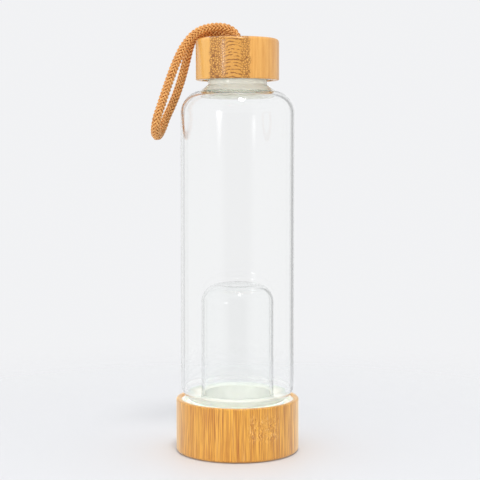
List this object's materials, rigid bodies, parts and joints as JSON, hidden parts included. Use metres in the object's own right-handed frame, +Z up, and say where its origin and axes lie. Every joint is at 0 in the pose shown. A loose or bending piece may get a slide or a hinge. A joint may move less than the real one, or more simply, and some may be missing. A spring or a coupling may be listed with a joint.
{
  "type": "glass water bottle",
  "caption": "Clear glass water bottle with a domed inner chamber, a screw-on bamboo base, a bamboo screw lid and a braided carry strap.",
  "frame": {"origin": "centre of the base's underside, on the surface that the bottle stands on", "axes": "+Z up along the bottle's axis; the strap hangs down on the -X side and the front faces -Y"},
  "size_m": [0.0845, 0.0706, 0.2453],
  "materials": {
    "bamboo": "turned and sanded bamboo with a clear satin coat",
    "glass": "clear borosilicate glass with a faint green tint where it is thick",
    "white_plastic": "white moulded polypropylene",
    "silicone": "translucent white silicone",
    "braid": "round braided tan cord"
  },
  "bodies": {
    "base": {"base_shell": "bamboo", "base_liner": "white_plastic"},
    "foot_ring": {"foot_gasket": "silicone"},
    "bottle": {"bottle_glass": "glass", "chamber_glass": "glass"},
    "cap_ring": {"cap_gasket": "silicone"},
    "cap": {"cap_shell": "bamboo", "cap_liner": "white_plastic"},
    "strap": {"strap_cord": "braid", "strap_knot": "braid"}
  },
  "joints": [
    {"name": "bottle_rise", "type": "slide", "parent": "base", "child": "foot_ring", "axis": [0, 0, 1], "range_m": [0, 0.0161]},
    {"name": "bottle_turn", "type": "hinge", "parent": "foot_ring", "child": "bottle", "pos_m": [0, 0, 0.0285], "axis": [0, 0, 1], "range_deg": [0, 1440]},
    {"name": "cap_rise", "type": "slide", "parent": "bottle", "child": "cap_ring", "axis": [0, 0, 1], "range_m": [0, 0.0101]},
    {"name": "cap_turn", "type": "hinge", "parent": "cap_ring", "child": "cap", "pos_m": [0, 0, 0.221], "axis": [0, 0, 1], "range_deg": [0, 900]},
    {"name": "strap_swivel", "type": "hinge", "parent": "cap", "child": "strap", "pos_m": [0, 0, 0.2312], "axis": [0, 0, 1], "continuous": true}
  ],
  "couplings": [
    {"joint": "bottle_rise", "follows": "bottle_turn", "m_per_rad": 0.00063662},
    {"joint": "cap_rise", "follows": "cap_turn", "m_per_rad": 0.00063662}
  ]
}
